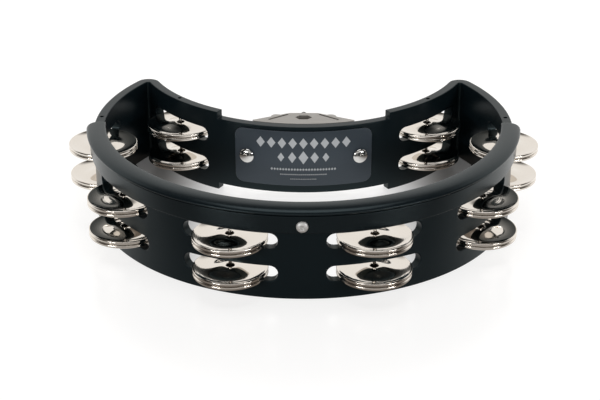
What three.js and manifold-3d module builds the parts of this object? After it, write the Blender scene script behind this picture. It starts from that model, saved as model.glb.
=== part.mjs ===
// Crescent tambourine for a drum kit: a closed moulded frame strip, a striking rim on its
// front arc, eight pinned columns of paired jingles, and a steel clamp behind a name plate.
// Millimetres, +Z up. The frame lies flat on z = 0 and the front arc faces -Y.

import * as THREE from 'three';
import { mergeVertices } from 'three/addons/utils/BufferGeometryUtils.js';
import Module from 'manifold-3d';

const wasm = await Module();
wasm.setup();

// ---- driving dimensions ----------------------------------------------------------------

const GAP = 0.3; // working gap between pieces that touch
const FACET = THREE.MathUtils.degToRad(4); // angle of one facet on the large arcs

const FRONT_R = 150; // outer face of the front arc, centred on the arc centre
const BACK_R = 121.9; // rear face of the back wall
const BACK_CENTRE_Y = 130; // centre of the back wall's arc, behind the frame
const HORN_R = 9; // outer rounding of the two horns
const WALL = 6.8; // thickness of the frame strip
const FRAME_TOP = 62;
const NOTCH_HALF = 61.5; // half width of the shallower middle of the back wall
const NOTCH_DEPTH = 5; // taken off its top edge and its bottom edge

const SLOT_HEIGHT = 11;
const SLOT_LENGTH_FRONT = 65;
const SLOT_LENGTH_BACK = 62;
const ROW_FLOORS = { lower: 12.7, upper: 36.2 }; // floor of each row of slots
const COLUMN_PITCH = THREE.MathUtils.degToRad(37.44); // between columns on the front arc
const BACK_COLUMN = THREE.MathUtils.degToRad(47.6); // back columns, from the centre line

const JINGLE_R = 25;
const JINGLE_HOLE_R = 2.9;
const JINGLE_HEIGHT = 3; // at the dome round the hole
const JINGLE_RIM_HEIGHT = 2.2; // at the lip
const JINGLE_SHEET = 0.9;
const VALLEY_R = 16.5; // lowest circle, between the dome and the flange
const VALLEY_HEIGHT = 1;
const LIP_WIDTH = 1.4;
const JINGLE_SIDES = 20;
const PIN_R = 1.15;
const PIN_SIDES = 8;
const PIN_HOLE_R = 1.5;
const PIN_BOTTOM = 5; // closed end of the pin's hole
const PIN_TOP = 58.5;

const RIM_INNER_R = 141;
const RIM_OUTER_R = 155;
const RIM_TOP = 67;
const RIM_SKIRT_R = 153;
const RIM_SKIRT_BOTTOM = 49;
const RIM_HALF_ANGLE = THREE.MathUtils.degToRad(85.5);
const RIM_END_R = 5;

const SCREW_Z = 54.5;
const SCREW_R = 1.95;
const SCREW_HEAD_R = 3.95;
const INSERT_R = 3.1;

const PLATE_WIDTH = 100;
const PLATE_HEIGHT = 43;
const PLATE_Z = 32.5;
const PLATE_THICKNESS = 0.8;
const PLATE_CORNER_R = 6;
const BOLT_SPACING = 82;
const BOLT_R = 2.4;
const BOLT_HEAD_R = 5.6;

const STEEL = 2; // thickness of the bracket's sheet
const BRACKET_BOTTOM = 4;
const BRACKET_TOP = 57;
const BRACKET_BACK_Y = 29;
const BRACKET_BACK_HALF = 10.3;
const SHELF_HALF = 37;
const FLANGE_HALF = 49;
const CHANNEL_INNER = [11.4, 26.4];
const CHANNEL_OUTER = [25.6, 16.4];
const CHANNEL_WIDTH = 1.8;
const CHANNEL_DEPTH = 0.9;
const ROD_Y = 20.6; // centre of the opening that a stand's rod passes through
const CLAMP_Z = 46.5; // height of the eye bolt's axis
const EYE_Y = 18.6; // centre of the eye when the clamp is open
const EYE_R = 6.6;
const EYE_HOLE_R = 4.2;
const SHANK_R = 3;
const WING_HALF = 24.5;

// ---- small tools -----------------------------------------------------------------------

const { cos, sin, sqrt, atan2, asin, PI } = Math;

function solid(geometry) {
  const plain = geometry.index ? geometry.toNonIndexed() : geometry.clone();
  plain.deleteAttribute('normal');
  plain.deleteAttribute('uv');
  const merged = mergeVertices(plain, 1e-4);
  return new wasm.Manifold(new wasm.Mesh({
    numProp: 3,
    vertProperties: new Float32Array(merged.attributes.position.array),
    triVerts: new Uint32Array(merged.index.array),
  }));
}

function geometryOf(body) {
  const mesh = body.getMesh();
  const geometry = new THREE.BufferGeometry();
  geometry.setAttribute('position', new THREE.BufferAttribute(mesh.vertProperties, 3));
  geometry.setIndex(new THREE.BufferAttribute(mesh.triVerts, 1));
  geometry.computeVertexNormals();
  return geometry;
}

// Points along an arc about (x, y), one facet apart or closer, both ends included.
function arc(x, y, radius, from, to, facet = FACET) {
  const steps = Math.max(2, Math.ceil(Math.abs(to - from) / facet));
  return Array.from({ length: steps + 1 }, (_, i) => {
    const angle = from + (to - from) * i / steps;
    return new THREE.Vector2(x + radius * cos(angle), y + radius * sin(angle));
  });
}

// A flat outline raised from z = low to z = high.
function prism(outline, low, high) {
  const shape = outline instanceof THREE.Shape ? outline : new THREE.Shape(outline);
  const settings = { depth: high - low, bevelEnabled: false, curveSegments: 4 };
  return solid(new THREE.ExtrudeGeometry(shape, settings).translate(0, 0, low));
}

// A closed (radius, z) profile turned about the Z axis.
function turned(profile, sides) {
  const loop = [...profile, profile[0]].map(([r, z]) => new THREE.Vector2(r, z));
  return solid(new THREE.LatheGeometry(loop, sides).rotateX(PI / 2));
}

// A round bar or hole along +Z.
function rod(radius, low, high, sides = 12) {
  const bar = new THREE.CylinderGeometry(radius, radius, high - low, sides);
  return solid(bar.rotateX(PI / 2).translate(0, 0, (low + high) / 2));
}

function boxOf(low, high) {
  const size = high.map((value, i) => value - low[i]);
  const middle = high.map((value, i) => (value + low[i]) / 2);
  return solid(new THREE.BoxGeometry(...size).translate(...middle));
}

// Lays a body made about +Z down so that its axis points along +Y.
function layAlongY(body) {
  return body.rotate([-90, 0, 0]);
}

const degrees = THREE.MathUtils.radToDeg;

// ---- places on the two walls -----------------------------------------------------------

// A place on the front arc: angle runs from the front centre towards +X.
function onFront(angle, radius) {
  return { x: radius * sin(angle), y: -radius * cos(angle), turn: angle };
}

// A place on the back wall: angle runs from the wall's middle towards +X.
function onBack(angle, radius) {
  return { x: radius * sin(angle), y: BACK_CENTRE_Y - radius * cos(angle), turn: angle };
}

// Moves a body made on the centre line, at the origin, to a place and turns it to face out.
function moveTo(body, place) {
  return body.rotate([0, 0, degrees(place.turn)]).translate([place.x, place.y, 0]);
}

const FRONT_MID_R = FRONT_R - WALL / 2;
const BACK_MID_R = BACK_R + WALL / 2;
const BACK_FACE_R = BACK_R + WALL;

const columns = [
  { name: 'front_left', place: onFront(-0.5 * COLUMN_PITCH, FRONT_MID_R) },
  { name: 'front_right', place: onFront(0.5 * COLUMN_PITCH, FRONT_MID_R) },
  { name: 'left_front', place: onFront(-1.5 * COLUMN_PITCH, FRONT_MID_R) },
  { name: 'right_front', place: onFront(1.5 * COLUMN_PITCH, FRONT_MID_R) },
  { name: 'left_side', place: onFront(-2.5 * COLUMN_PITCH, FRONT_MID_R) },
  { name: 'right_side', place: onFront(2.5 * COLUMN_PITCH, FRONT_MID_R) },
  { name: 'back_left', place: onBack(-BACK_COLUMN, BACK_MID_R), back: true },
  { name: 'back_right', place: onBack(BACK_COLUMN, BACK_MID_R), back: true },
];

const BOLT_ANGLE = asin(BOLT_SPACING / 2 / BACK_FACE_R);
const plateBolts = [
  { side: 'left', place: onBack(-BOLT_ANGLE, BACK_FACE_R) },
  { side: 'right', place: onBack(BOLT_ANGLE, BACK_FACE_R) },
];

// ---- frame -----------------------------------------------------------------------------

// The crescent's outline, moved in by an inset. Both horns keep their centres as it moves.
function crescent(inset) {
  const reach = FRONT_R - HORN_R;
  const backReach = BACK_R + HORN_R;
  const hornY = (reach ** 2 - backReach ** 2 + BACK_CENTRE_Y ** 2) / (2 * BACK_CENTRE_Y);
  const hornX = sqrt(reach ** 2 - hornY ** 2);
  const outward = atan2(hornY, hornX);
  const inward = atan2(BACK_CENTRE_Y - hornY, -hornX);
  const hornFacet = PI / 10;
  return [
    ...arc(0, 0, FRONT_R - inset, -PI - outward, outward).slice(0, -1),
    ...arc(hornX, hornY, HORN_R - inset, outward, inward, hornFacet).slice(0, -1),
    ...arc(0, BACK_CENTRE_Y, BACK_R + inset, inward - PI, -inward).slice(0, -1),
    ...arc(-hornX, hornY, HORN_R - inset, PI - inward, PI - outward, hornFacet).slice(0, -1),
  ];
}

// A slot with round ends, cut straight through the wall where it crosses the Y axis.
function slotCutter(length, floor) {
  const radius = SLOT_HEIGHT / 2;
  const half = length / 2 - radius;
  const outline = new THREE.Shape();
  outline.absarc(half, 0, radius, -PI / 2, PI / 2, false);
  outline.absarc(-half, 0, radius, PI / 2, 3 * PI / 2, false);
  const through = 3 * WALL;
  return prism(outline, -through / 2, through / 2)
    .rotate([90, 0, 0])
    .translate([0, 0, floor + radius]);
}

function frameBody() {
  const ring = new THREE.Shape(crescent(0));
  ring.holes.push(new THREE.Path(crescent(WALL)));
  let body = prism(ring, 0, FRAME_TOP);
  for (const [low, high] of [[-1, NOTCH_DEPTH], [FRAME_TOP - NOTCH_DEPTH, FRAME_TOP + 1]]) {
    body = body.subtract(boxOf([-NOTCH_HALF, -40, low], [NOTCH_HALF, 60, high]));
  }
  for (const { place, back } of columns) {
    for (const floor of Object.values(ROW_FLOORS)) {
      const length = back ? SLOT_LENGTH_BACK : SLOT_LENGTH_FRONT;
      body = body.subtract(moveTo(slotCutter(length, floor), place));
    }
    body = body.subtract(moveTo(rod(PIN_HOLE_R, PIN_BOTTOM, FRAME_TOP + 1, PIN_SIDES), place));
  }
  for (const { place } of plateBolts) {
    const hole = layAlongY(rod(BOLT_R + GAP, -2, WALL + 2)).translate([0, 0, PLATE_Z]);
    body = body.subtract(moveTo(hole, place));
  }
  const insertHole = layAlongY(rod(INSERT_R + GAP, -2, WALL + 2)).translate([0, 0, SCREW_Z]);
  return body.subtract(moveTo(insertHole, onFront(0, FRONT_R)));
}

// ---- striking rim and its screw --------------------------------------------------------

// The rim's section is a cap over the frame's top edge with a skirt down its outer face.
function strikingRim() {
  const skirtInner = FRONT_R + GAP;
  const underside = FRAME_TOP + GAP;
  const ring = turned([
    [RIM_INNER_R, underside],
    [skirtInner, underside],
    [skirtInner, RIM_SKIRT_BOTTOM],
    [RIM_SKIRT_R - 0.8, RIM_SKIRT_BOTTOM],
    [RIM_SKIRT_R, RIM_SKIRT_BOTTOM + 0.8],
    [RIM_SKIRT_R, underside],
    [RIM_OUTER_R, underside + 0.8],
    [RIM_OUTER_R - 1, RIM_TOP - 1.8],
    [RIM_OUTER_R - 5, RIM_TOP - 0.4],
    [RIM_INNER_R + 3, RIM_TOP],
    [RIM_INNER_R, RIM_TOP - 2],
  ], 2 * PI / FACET);
  const end = RIM_HALF_ANGLE - PI / 2;
  const endSpread = RIM_END_R / RIM_OUTER_R;
  const plan = [
    ...arc(0, 0, RIM_OUTER_R + 2, -PI - end + endSpread, end - endSpread),
    ...arc(0, 0, RIM_OUTER_R - RIM_END_R, end, end + 0.001),
    ...arc(0, 0, RIM_INNER_R - 2, end - 0.5 * endSpread, -PI - end + 0.5 * endSpread),
    ...arc(0, 0, RIM_OUTER_R - RIM_END_R, -PI - end - 0.001, -PI - end),
  ];
  const hole = layAlongY(rod(SCREW_R + GAP, -6, 3)).translate([0, 0, SCREW_Z]);
  return ring
    .intersect(prism(plan, RIM_SKIRT_BOTTOM - 1, RIM_TOP + 1))
    .subtract(moveTo(hole, onFront(0, FRONT_R)));
}

// Button-head screw with a hexagon socket, head outwards.
function rimScrew() {
  const seat = RIM_SKIRT_R - FRONT_R + GAP;
  const head = turned([
    [0, 0], [SCREW_HEAD_R, 0], [SCREW_HEAD_R, 0.5], [3.2, 1.5], [2.2, 2.1], [0, 2.1],
  ], 20);
  const shank = rod(SCREW_R, -(seat + WALL - 0.8), 0.2);
  const socket = rod(1.4, 0.8, 3, 6);
  return moveTo(
    layAlongY(head.add(shank).subtract(socket).rotate([180, 0, 0])).translate([0, -seat, SCREW_Z]),
    onFront(0, FRONT_R),
  );
}

function rimInsert() {
  const sleeve = rod(INSERT_R, 0.6, WALL + 0.4).subtract(rod(SCREW_R + GAP, -1, WALL + 2));
  return moveTo(layAlongY(sleeve).translate([0, 0, SCREW_Z]), onFront(0, FRONT_R));
}

// ---- jingles and pins ------------------------------------------------------------------

// One jingle: a low dome round the hole, a valley round the dome, and a flange that climbs to
// a lip, whose edge turns down to z = 0.
function jingle() {
  const under = JINGLE_RIM_HEIGHT - JINGLE_SHEET;
  const loop = [
    [JINGLE_HOLE_R, JINGLE_HEIGHT - JINGLE_SHEET],
    [VALLEY_R, VALLEY_HEIGHT - JINGLE_SHEET],
    [JINGLE_R - LIP_WIDTH, under],
    [JINGLE_R - JINGLE_SHEET, under - 0.4],
    [JINGLE_R, 0],
    [JINGLE_R, under],
    [JINGLE_R - LIP_WIDTH, JINGLE_RIM_HEIGHT],
    [VALLEY_R, VALLEY_HEIGHT],
    [JINGLE_HOLE_R, JINGLE_HEIGHT],
    [JINGLE_HOLE_R, JINGLE_HEIGHT - JINGLE_SHEET],
  ];
  const points = loop.map(([r, z]) => new THREE.Vector2(r, z));
  return new THREE.LatheGeometry(points, JINGLE_SIDES).rotateX(PI / 2);
}

// ---- name plate and its bolts ----------------------------------------------------------

// A band that follows the back wall between two radii, cut to a rounded rectangle.
function curvedPlate(innerR, outerR, width, low, high, corner) {
  const half = asin(width / 2 / outerR) + FACET;
  const band = prism([
    ...arc(0, BACK_CENTRE_Y, outerR, -PI / 2 - half, -PI / 2 + half),
    ...arc(0, BACK_CENTRE_Y, innerR, -PI / 2 + half, -PI / 2 - half),
  ], low, high);
  const x = width / 2 - corner;
  const z = (high - low) / 2 - corner;
  const outline = new THREE.Shape();
  outline.absarc(x, z, corner, 0, PI / 2, false);
  outline.absarc(-x, z, corner, PI / 2, PI, false);
  outline.absarc(-x, -z, corner, PI, 3 * PI / 2, false);
  outline.absarc(x, -z, corner, 3 * PI / 2, 2 * PI, false);
  const window = prism(outline, -60, 60).rotate([90, 0, 0]).translate([0, 0, (low + high) / 2]);
  return band.intersect(window);
}

const PLATE_INNER_R = BACK_FACE_R + GAP;
const PLATE_OUTER_R = PLATE_INNER_R + PLATE_THICKNESS;

function drillForBolts(body) {
  return plateBolts.reduce((rest, { place }) => {
    const drill = layAlongY(rod(BOLT_R + GAP, -5, WALL + 12)).translate([0, 0, PLATE_Z]);
    return rest.subtract(moveTo(drill, place));
  }, body);
}

function namePlate() {
  const low = PLATE_Z - PLATE_HEIGHT / 2;
  const high = PLATE_Z + PLATE_HEIGHT / 2;
  return drillForBolts(
    curvedPlate(PLATE_INNER_R, PLATE_OUTER_R, PLATE_WIDTH, low, high, PLATE_CORNER_R),
  );
}

const FLANGE_OUTER_R = BACK_R - GAP;
const FLANGE_INNER_R = FLANGE_OUTER_R - STEEL;
const WASHER = { inner: BOLT_R + GAP, outer: 5.4, thickness: 1 };
const NUT = { across: 4.6, thickness: 4 };

// Distance from the wall's front face, along a bolt, to a radius behind the wall.
function depthTo(radius) {
  return BACK_FACE_R - radius;
}

const headSeat = PLATE_OUTER_R - BACK_FACE_R + GAP;
// A flat washer on the hollow side of a bent flange touches at its edge and spans the dip.
const washerSeat = depthTo(FLANGE_INNER_R) + GAP + 0.2;
const nutSeat = washerSeat + WASHER.thickness + GAP;

function carriageBolt({ place }) {
  const head = turned([
    [0, 0], [BOLT_HEAD_R, 0], [BOLT_HEAD_R, 0.5], [4.6, 1.5], [2.8, 2.3], [0, 2.6],
  ], 18);
  const shank = rod(BOLT_R, -(headSeat + nutSeat + NUT.thickness + 1.5), 0.2);
  const body = layAlongY(head.add(shank).rotate([180, 0, 0]));
  return moveTo(body.translate([0, -headSeat, PLATE_Z]), place);
}

function boltWasher({ place }) {
  const ring = rod(WASHER.outer, washerSeat, washerSeat + WASHER.thickness, 18)
    .subtract(rod(WASHER.inner, 0, 30));
  return moveTo(layAlongY(ring).translate([0, 0, PLATE_Z]), place);
}

function boltNut({ place }) {
  const block = rod(NUT.across, nutSeat, nutSeat + NUT.thickness, 6)
    .subtract(rod(BOLT_R + GAP, 0, 30));
  return moveTo(layAlongY(block).translate([0, 0, PLATE_Z]), place);
}

// ---- bracket and rod clamp -------------------------------------------------------------

// A shelf reaches back from the flange, tapers to the rear web and has a six-sided hole.
function shelf(low) {
  const wallSide = arc(0, BACK_CENTRE_Y, FLANGE_INNER_R + 0.5,
    -PI / 2 - asin(SHELF_HALF / FLANGE_INNER_R), -PI / 2 + asin(SHELF_HALF / FLANGE_INNER_R));
  const outline = [
    ...wallSide,
    new THREE.Vector2(BRACKET_BACK_HALF, BRACKET_BACK_Y),
    new THREE.Vector2(-BRACKET_BACK_HALF, BRACKET_BACK_Y),
  ];
  const hole = solid(new THREE.CylinderGeometry(1, 1, 4 * STEEL, 6).rotateX(PI / 2))
    .rotate([0, 0, 90])
    .scale([6.3, 4.2, 1])
    .translate([0, ROD_Y, low + STEEL / 2]);
  return prism(outline, low, low + STEEL).subtract(hole);
}

// A shallow stiffening channel pressed into the top shelf, from the rear corner outwards.
function channel(side) {
  const run = new THREE.Vector2(...CHANNEL_OUTER).sub(new THREE.Vector2(...CHANNEL_INNER));
  const bar = boxOf([0, -CHANNEL_WIDTH / 2, 0], [run.length(), CHANNEL_WIDTH / 2, 2 * STEEL])
    .rotate([0, 0, degrees(run.angle())])
    .translate([...CHANNEL_INNER, BRACKET_TOP - CHANNEL_DEPTH]);
  return side < 0 ? bar.mirror([1, 0, 0]) : bar;
}

function mountingBracket() {
  const flange = curvedPlate(
    FLANGE_INNER_R, FLANGE_OUTER_R, 2 * FLANGE_HALF, BRACKET_BOTTOM, BRACKET_TOP - 6, 5,
  );
  const neck = curvedPlate(
    FLANGE_INNER_R, FLANGE_OUTER_R, 2 * SHELF_HALF, BRACKET_BOTTOM, BRACKET_TOP, 1,
  );
  const web = boxOf(
    [-BRACKET_BACK_HALF, BRACKET_BACK_Y - STEEL, BRACKET_BOTTOM],
    [BRACKET_BACK_HALF, BRACKET_BACK_Y, BRACKET_TOP],
  );
  const shankHole = layAlongY(rod(SHANK_R + GAP, BRACKET_BACK_Y - 5, BRACKET_BACK_Y + 5))
    .translate([0, 0, CLAMP_Z]);
  const joined = flange.add(neck).add(web)
    .add(shelf(BRACKET_TOP - STEEL))
    .add(shelf(BRACKET_BOTTOM));
  const stiffened = joined.subtract(channel(1)).subtract(channel(-1));
  return drillForBolts(stiffened.subtract(shankHole));
}

// An eye that a stand's rod passes through, with a shank out through the rear web.
function eyeBolt() {
  const eye = turned([
    [EYE_HOLE_R, -3], [EYE_R, -3], [EYE_R, 3], [EYE_HOLE_R, 3],
  ], 24).translate([0, EYE_Y, CLAMP_Z]);
  const root = EYE_Y + EYE_R - 1;
  const shank = layAlongY(rod(SHANK_R, root, BRACKET_BACK_Y + 22, 12)).translate([0, 0, CLAMP_Z]);
  return eye.add(shank);
}

const clampSeat = BRACKET_BACK_Y + GAP;

function clampWasher() {
  const ring = rod(7, clampSeat, clampSeat + 1.2, 20).subtract(rod(SHANK_R + GAP, 0, 60));
  return layAlongY(ring).translate([0, 0, CLAMP_Z]);
}

// Wing nut: a tapered hub with two flat wings, threaded on the eye bolt's shank.
function wingNut() {
  const low = clampSeat + 1.2 + GAP;
  const hub = solid(new THREE.CylinderGeometry(5.2, 7, 11, 20).rotateX(PI / 2))
    .translate([0, 0, low + 5.5]);
  const wing = new THREE.Shape();
  wing.moveTo(3, low + 1);
  wing.lineTo(10, low + 2);
  wing.lineTo(WING_HALF - 1.5, low + 6);
  wing.quadraticCurveTo(WING_HALF, low + 6.5, WING_HALF, low + 8.5);
  wing.lineTo(WING_HALF, low + 14.5);
  wing.quadraticCurveTo(WING_HALF - 0.5, low + 17, WING_HALF - 4, low + 17);
  wing.quadraticCurveTo(12, low + 15, 9.5, low + 9.5);
  wing.lineTo(3, low + 9);
  const blade = prism(wing, -1.7, 1.7).rotate([90, 0, 0]);
  const turnedBlade = blade.rotate([0, 0, 180]);
  const bore = rod(SHANK_R + GAP, 0, 70);
  return layAlongY(hub.add(blade).add(turnedBlade).subtract(bore)).translate([0, 0, CLAMP_Z]);
}

// ---- assembly --------------------------------------------------------------------------

const black = { color: 0x14191d, roughness: 0.45, metalness: 0 };
const rubberBlack = { color: 0x1b1f23, roughness: 0.6, metalness: 0 };
const nickel = { color: 0xd9d0c4, roughness: 0.12, metalness: 1 };
const steel = { color: 0xa8a39c, roughness: 0.35, metalness: 1 };
const brightSteel = { color: 0xcfcfcd, roughness: 0.15, metalness: 1 };
const brass = { color: 0xb08d4a, roughness: 0.3, metalness: 1 };
const slate = { color: 0x38424b, roughness: 0.4, metalness: 0.2 };

const object = new THREE.Group();

function addPiece(name, geometry, finish, parent = object) {
  const mesh = new THREE.Mesh(geometry, new THREE.MeshStandardMaterial(finish));
  mesh.name = name;
  parent.add(mesh);
  return mesh;
}

addPiece('frame', geometryOf(frameBody()), black);
addPiece('striking_rim', geometryOf(strikingRim()), rubberBlack);
addPiece('rim_screw', geometryOf(rimScrew()), brightSteel);
addPiece('rim_screw_insert', geometryOf(rimInsert()), brass);

const jingleGeometry = jingle();
const pinGeometry = new THREE.CylinderGeometry(PIN_R, PIN_R, PIN_TOP - PIN_BOTTOM - GAP, PIN_SIDES);
pinGeometry.rotateX(PI / 2).translate(0, 0, (PIN_TOP + PIN_BOTTOM + GAP) / 2);

for (const { name, place } of columns) {
  const column = new THREE.Group();
  column.position.set(place.x, place.y, 0);
  column.rotation.z = place.turn;
  object.add(column);
  addPiece(`pin_${name}`, pinGeometry, brightSteel, column);
  for (const [row, floor] of Object.entries(ROW_FLOORS)) {
    const meeting = floor + GAP + JINGLE_HEIGHT + GAP / 2;
    const bottom = addPiece(`jingle_${name}_${row}_bottom`, jingleGeometry, nickel, column);
    bottom.rotation.x = PI;
    bottom.position.z = meeting - GAP / 2;
    const top = addPiece(`jingle_${name}_${row}_top`, jingleGeometry, nickel, column);
    top.position.z = meeting + GAP / 2;
  }
}

addPiece('name_plate', geometryOf(namePlate()), slate);
for (const bolt of plateBolts) {
  addPiece(`plate_bolt_${bolt.side}`, geometryOf(carriageBolt(bolt)), brightSteel);
  addPiece(`plate_washer_${bolt.side}`, geometryOf(boltWasher(bolt)), brightSteel);
  addPiece(`plate_nut_${bolt.side}`, geometryOf(boltNut(bolt)), brightSteel);
}
addPiece('mounting_bracket', geometryOf(mountingBracket()), steel);
addPiece('eye_bolt', geometryOf(eyeBolt()), brightSteel);
addPiece('clamp_washer', geometryOf(clampWasher()), brightSteel);
addPiece('wing_nut', geometryOf(wingNut()), steel);

// The origin is the middle of the whole object's footprint, on the surface it lies on.
const footprint = new THREE.Box3().setFromObject(object, true);
object.position.y = -(footprint.min.y + footprint.max.y) / 2;

export default object;
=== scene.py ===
"""Finished look of a crescent tambourine for a drum kit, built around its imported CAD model.

Pieces are made in millimetres about the centre of the front arc, as in the CAD source, and
finish_piece() turns them into metres in the model's own frame. The camera, the floor and the
lights are in metres.
"""
import math

import bmesh
import bpy
from mathutils import Matrix, Vector


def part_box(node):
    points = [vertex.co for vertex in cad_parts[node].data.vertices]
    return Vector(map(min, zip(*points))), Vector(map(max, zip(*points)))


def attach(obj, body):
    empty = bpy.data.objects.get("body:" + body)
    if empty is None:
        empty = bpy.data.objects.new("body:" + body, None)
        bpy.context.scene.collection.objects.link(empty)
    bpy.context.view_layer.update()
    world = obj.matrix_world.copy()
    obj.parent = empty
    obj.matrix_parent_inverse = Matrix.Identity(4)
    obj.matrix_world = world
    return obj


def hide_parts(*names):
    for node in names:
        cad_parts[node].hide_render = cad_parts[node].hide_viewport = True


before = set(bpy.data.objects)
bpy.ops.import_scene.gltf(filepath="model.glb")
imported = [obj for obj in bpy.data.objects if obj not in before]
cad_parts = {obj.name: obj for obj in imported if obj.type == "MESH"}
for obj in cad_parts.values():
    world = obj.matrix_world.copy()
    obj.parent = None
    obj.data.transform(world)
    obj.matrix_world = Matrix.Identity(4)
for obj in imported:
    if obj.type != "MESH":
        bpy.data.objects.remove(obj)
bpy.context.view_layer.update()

# ---- dimensions shared with the CAD model ----------------------------------------------

MM = 0.001
GAP = 0.3  # clearance between neighbouring parts

FRONT_R = 150.0  # outer face of the front arc
BACK_R = 121.9  # face of the back wall that the bracket lies against
BACK_CENTRE_Y = 130.0  # centre of the back wall's arc
HORN_R = 9.0  # outer radius of the horns, where the two arcs meet
WALL, FRAME_TOP = 6.8, 62.0
NOTCH_HALF, NOTCH_DEPTH = 61.5, 5.0  # the back wall's middle, cut in at top and bottom
SLOT_HEIGHT, SLOT_FRONT, SLOT_BACK = 11.0, 65.0, 62.0
ROWS = {"lower": 12.7, "upper": 36.2}  # floors of the slots
PITCH = math.radians(37.44)  # between the pins of the front arc
BACK_COLUMN = math.radians(47.6)  # from the back wall's middle to its pins

JINGLE_R, JINGLE_HOLE_R = 25.0, 2.9
JINGLE_HEIGHT, JINGLE_SHEET = 3.0, 0.9
PIN_R, PIN_HOLE_R = 1.15, 1.5
PIN_BOTTOM, PIN_TOP = 5.0, 58.5

RIM_INNER_R, RIM_OUTER_R, RIM_SKIRT_R = 141.0, 155.0, 153.0
RIM_TOP, RIM_BOTTOM = 67.0, 49.0
RIM_HALF_ANGLE = math.radians(85.5)
RIM_END_R = 5.0  # rounding of the rim's ends in plan
SCREW_Z, SCREW_R, SCREW_HEAD_R = 54.5, 1.95, 3.95
INSERT_R = 3.1

PLATE_WIDTH, PLATE_HEIGHT, PLATE_THICKNESS = 100.0, 43.0, 0.8
PLATE_CORNER = 6.0
PLATE_Z = 32.5  # middle of the plate and of its bolts
BOLT_SPACING, BOLT_R, BOLT_HEAD_R = 82.0, 2.4, 5.6
BRACKET_BACK_Y = 29.0
STEEL = 2.0  # sheet of the bracket
CLAMP_Z = 46.5  # axis of the eye bolt
EYE_Y, EYE_R, EYE_HOLE_R = 18.6, 6.6, 4.2
SHANK_R = 3.0
WING_HALF = 24.5

FRONT_MID_R = FRONT_R - WALL / 2
BACK_MID_R = BACK_R + WALL / 2
BACK_FACE_R = BACK_R + WALL  # face of the back wall inside the crescent
HORN_MID_R = HORN_R - WALL / 2
PLATE_OUTER_R = BACK_FACE_R + GAP + PLATE_THICKNESS

# The rim reaches its outer radius straight in front, which gives the arc centre's place.
ARC_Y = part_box("striking_rim")[0].y + RIM_OUTER_R * MM
TO_FRAME = Matrix.Translation((0, ARC_Y, 0)) @ Matrix.Scale(MM, 4)

ROOT = "frame_assembly"


def on_front(angle, radius):
    """Place on the front arc, with +Y of the piece turned to face the arc's centre."""
    spot = (radius * math.sin(angle), -radius * math.cos(angle), 0)
    return Matrix.Translation(spot) @ Matrix.Rotation(angle, 4, "Z")


def on_back(angle, radius):
    """Place on the back wall, with -Y of the piece turned to face the crescent's inside."""
    spot = (radius * math.sin(angle), BACK_CENTRE_Y - radius * math.cos(angle), 0)
    return Matrix.Translation(spot) @ Matrix.Rotation(angle, 4, "Z")


COLUMNS = {
    "front_left": on_front(-0.5 * PITCH, FRONT_MID_R),
    "front_right": on_front(0.5 * PITCH, FRONT_MID_R),
    "left_front": on_front(-1.5 * PITCH, FRONT_MID_R),
    "right_front": on_front(1.5 * PITCH, FRONT_MID_R),
    "left_side": on_front(-2.5 * PITCH, FRONT_MID_R),
    "right_side": on_front(2.5 * PITCH, FRONT_MID_R),
    "back_left": on_back(-BACK_COLUMN, BACK_MID_R),
    "back_right": on_back(BACK_COLUMN, BACK_MID_R),
}
BOLT_ANGLE = math.asin(BOLT_SPACING / 2 / BACK_FACE_R)
BOLTS = {"left": on_back(-BOLT_ANGLE, BACK_FACE_R), "right": on_back(BOLT_ANGLE, BACK_FACE_R)}
# Turns a piece made about +Z so that its +Z points out of the front arc, or out of a plate.
FACE_OUT = Matrix.Rotation(math.radians(90), 4, "X")
FACE_BACK = Matrix.Rotation(math.radians(-90), 4, "X")

# ---- camera ----------------------------------------------------------------------------

LENS_MM, SENSOR_MM = 95.8, 36.0
CAMERA_X, CAMERA_AHEAD, CAMERA_HEIGHT = 0.00494, 1.0602, 0.5099
CAMERA_DOWN, CAMERA_TURN = 25.70, 0.40  # degrees
camera_data = bpy.data.cameras.new("camera")
camera_data.lens = LENS_MM
camera_data.sensor_width = SENSOR_MM
camera = bpy.data.objects.new("camera", camera_data)
camera.location = (CAMERA_X, ARC_Y - CAMERA_AHEAD, CAMERA_HEIGHT)
camera.rotation_euler = (math.radians(90 - CAMERA_DOWN), 0, math.radians(CAMERA_TURN))
bpy.context.scene.collection.objects.link(camera)
bpy.context.scene.camera = camera

# ---- materials -------------------------------------------------------------------------

DRIFT_SCALE = 14.0  # colour drifts over patches a few centimetres wide
EDGE_START, EDGE_FULL = 0.53, 0.60  # pointiness where edge wear starts and where it is full
GRAIN_DEPTH = 0.0004
LATHE_SCALE, LATHE_DEPTH = 260.0, 0.00004  # turned rings on a disc


def node_of(tree, kind, **values):
    """Adds a shader node. Keys name its properties, or its inputs when they start with 'in_'."""
    node = tree.nodes.new(kind)
    for key, value in values.items():
        if key.startswith("in_"):
            node.inputs[key[3:].replace("_", " ")].default_value = value
        else:
            setattr(node, key, value)
    return node


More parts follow.
